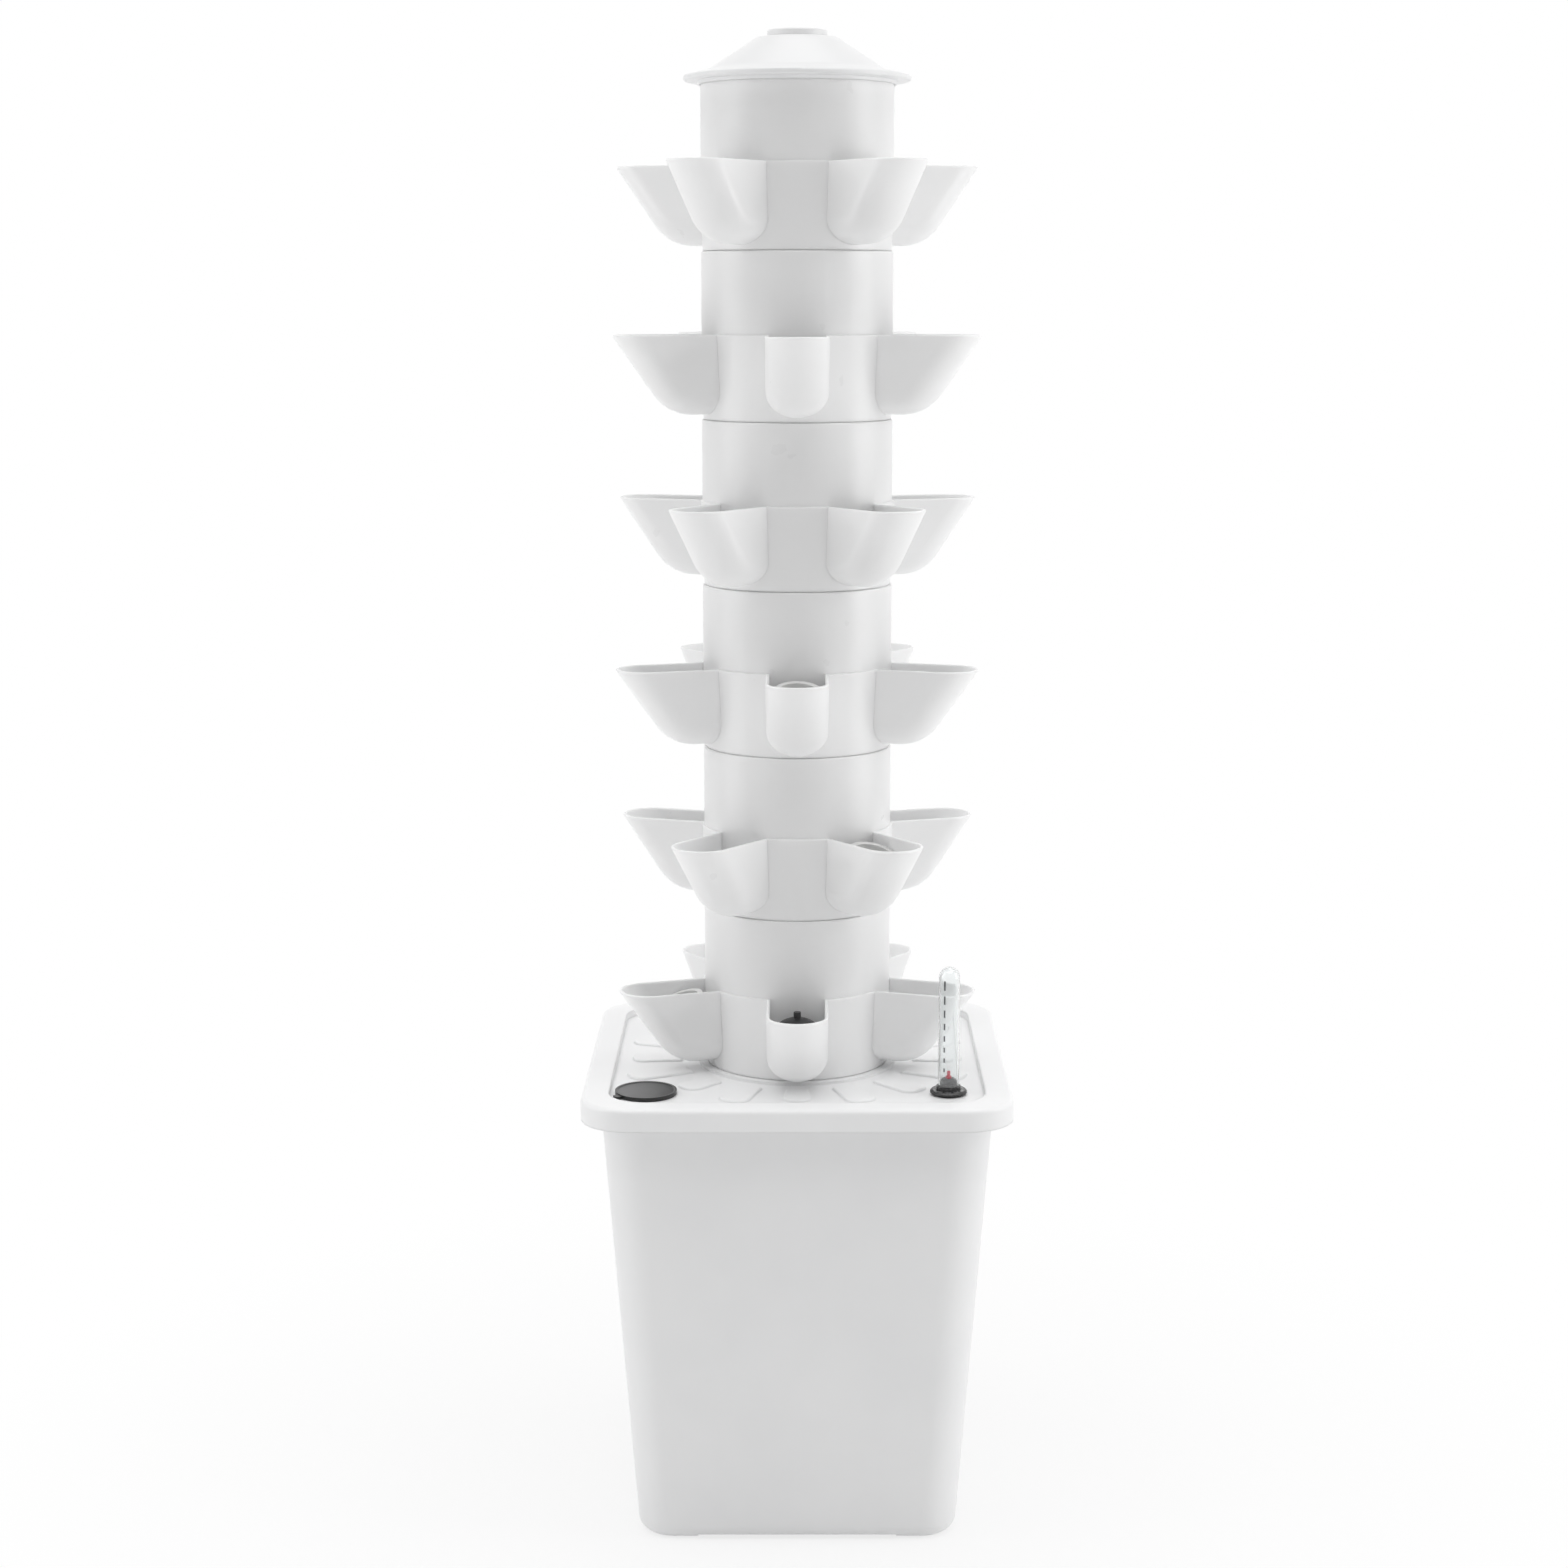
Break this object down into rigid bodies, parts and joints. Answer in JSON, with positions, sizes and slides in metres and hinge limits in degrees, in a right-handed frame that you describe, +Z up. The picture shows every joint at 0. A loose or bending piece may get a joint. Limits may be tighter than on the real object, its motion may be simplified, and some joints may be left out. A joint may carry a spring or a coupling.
{
  "type": "hydroponic tower",
  "caption": "Free-standing hydroponic tower: a square water tank with a lid and level gauge, a stack of tiers with leaning plant pockets, and a pump and riser inside.",
  "frame": {"origin": "on the floor, under the tower's axis", "axes": "+Z up the tower; -Y is the front, where the filler cap and the level gauge are; +X is to the right from the front"},
  "size_m": [0.347, 0.347, 1.2188],
  "materials": {
    "white_plastic": "satin white moulding",
    "cup_plastic": "plain white moulding",
    "dark_plastic": "fine matt dark grey",
    "black_plastic": "satin black",
    "black_rubber": "matt black",
    "clear_plastic": "clear and polished",
    "red_plastic": "gloss red",
    "float_foam": "closed foam",
    "impeller_plastic": "plain grey",
    "shaft_steel": "ground",
    "pipe_plastic": "plain grey-white pipe"
  },
  "bodies": {
    "tank": {"tank": "white_plastic", "pump_housing": "black_plastic", "pump_chamber_cover": "black_plastic", "pump_inlet_cover": "black_plastic", "pump_shaft": "shaft_steel", "pump_outlet": "black_plastic", "pump_suction_cups": "black_rubber", "pump_cord_gland": "black_rubber", "riser_pipe_lower": "pipe_plastic", "riser_coupler_lower": "pipe_plastic", "riser_pipe_middle": "pipe_plastic", "riser_coupler_upper": "pipe_plastic", "riser_pipe_upper": "pipe_plastic"},
    "lid": {"tank_lid": "white_plastic", "cord_grommet": "black_rubber", "gauge_base": "dark_plastic", "gauge_seal": "black_rubber", "gauge_nut": "dark_plastic", "gauge_tube": "clear_plastic"},
    "fill_cap": {"fill_cap": "dark_plastic"},
    "float": {"gauge_rod": "red_plastic", "gauge_float": "float_foam"},
    "impeller": {"pump_impeller": "impeller_plastic"},
    "drip_tray": {"drip_tray": "white_plastic"},
    "top_cap": {"top_cap": "white_plastic"},
    "pocket_plug": {"pocket_plug": "black_plastic"},
    "tier_6": {"tier_6": "white_plastic"},
    "tier_5": {"tier_5": "white_plastic"},
    "tier_4": {"tier_4": "white_plastic"},
    "tier_3": {"tier_3": "white_plastic"},
    "tier_2": {"tier_2": "white_plastic"},
    "tier_1": {"tier_1": "white_plastic"},
    "net_cup_1": {"net_cup_1": "cup_plastic"},
    "net_cup_2": {"net_cup_2": "cup_plastic"},
    "net_cup_3": {"net_cup_3": "cup_plastic"},
    "net_cup_4": {"net_cup_4": "cup_plastic"},
    "net_cup_5": {"net_cup_5": "cup_plastic"},
    "net_cup_6": {"net_cup_6": "cup_plastic"}
  },
  "joints": [
    {"name": "lid_lift", "type": "slide", "parent": "tank", "child": "lid", "axis": [0, 0, 1], "range_m": [0, 0.06]},
    {"name": "fill_cap_lift", "type": "slide", "parent": "lid", "child": "fill_cap", "axis": [0, 0, 1], "range_m": [0, 0.03]},
    {"name": "float_rise", "type": "slide", "parent": "lid", "child": "float", "axis": [0, 0, 1], "range_m": [0, 0.07]},
    {"name": "impeller_spin", "type": "hinge", "parent": "tank", "child": "impeller", "pos_m": [0, 0, 0.037], "axis": [0, 1, 0], "continuous": true},
    {"name": "tier_6_lift", "type": "slide", "parent": "lid", "child": "tier_6", "axis": [0, 0, 1], "range_m": [0, 0.04]},
    {"name": "tier_5_lift", "type": "slide", "parent": "tier_6", "child": "tier_5", "axis": [0, 0, 1], "range_m": [0, 0.04]},
    {"name": "tier_4_lift", "type": "slide", "parent": "tier_5", "child": "tier_4", "axis": [0, 0, 1], "range_m": [0, 0.04]},
    {"name": "tier_3_lift", "type": "slide", "parent": "tier_4", "child": "tier_3", "axis": [0, 0, 1], "range_m": [0, 0.04]},
    {"name": "tier_2_lift", "type": "slide", "parent": "tier_3", "child": "tier_2", "axis": [0, 0, 1], "range_m": [0, 0.04]},
    {"name": "tier_1_lift", "type": "slide", "parent": "tier_2", "child": "tier_1", "axis": [0, 0, 1], "range_m": [0, 0.04]},
    {"name": "drip_tray_lift", "type": "slide", "parent": "tier_1", "child": "drip_tray", "axis": [0, 0, 1], "range_m": [0, 0.04]},
    {"name": "top_cap_lift", "type": "slide", "parent": "drip_tray", "child": "top_cap", "axis": [0, 0, 1], "range_m": [0, 0.04]},
    {"name": "pocket_plug_lift", "type": "slide", "parent": "tier_6", "child": "pocket_plug", "axis": [0, 0, 1], "range_m": [0, 0.055]},
    {"name": "net_cup_1_lift", "type": "slide", "parent": "tier_1", "child": "net_cup_1", "axis": [0.201, -0.2767, 0.9397], "range_m": [0, 0.055]},
    {"name": "net_cup_2_lift", "type": "slide", "parent": "tier_2", "child": "net_cup_2", "axis": [-0.3253, -0.1057, 0.9397], "range_m": [0, 0.055]},
    {"name": "net_cup_3_lift", "type": "slide", "parent": "tier_3", "child": "net_cup_3", "axis": [0.201, -0.2767, 0.9397], "range_m": [0, 0.055]},
    {"name": "net_cup_4_lift", "type": "slide", "parent": "tier_4", "child": "net_cup_4", "axis": [0, -0.342, 0.9397], "range_m": [0, 0.055]},
    {"name": "net_cup_5_lift", "type": "slide", "parent": "tier_5", "child": "net_cup_5", "axis": [0.201, -0.2767, 0.9397], "range_m": [0, 0.055]},
    {"name": "net_cup_6_lift", "type": "slide", "parent": "tier_6", "child": "net_cup_6", "axis": [-0.3253, -0.1057, 0.9397], "range_m": [0, 0.055]}
  ]
}
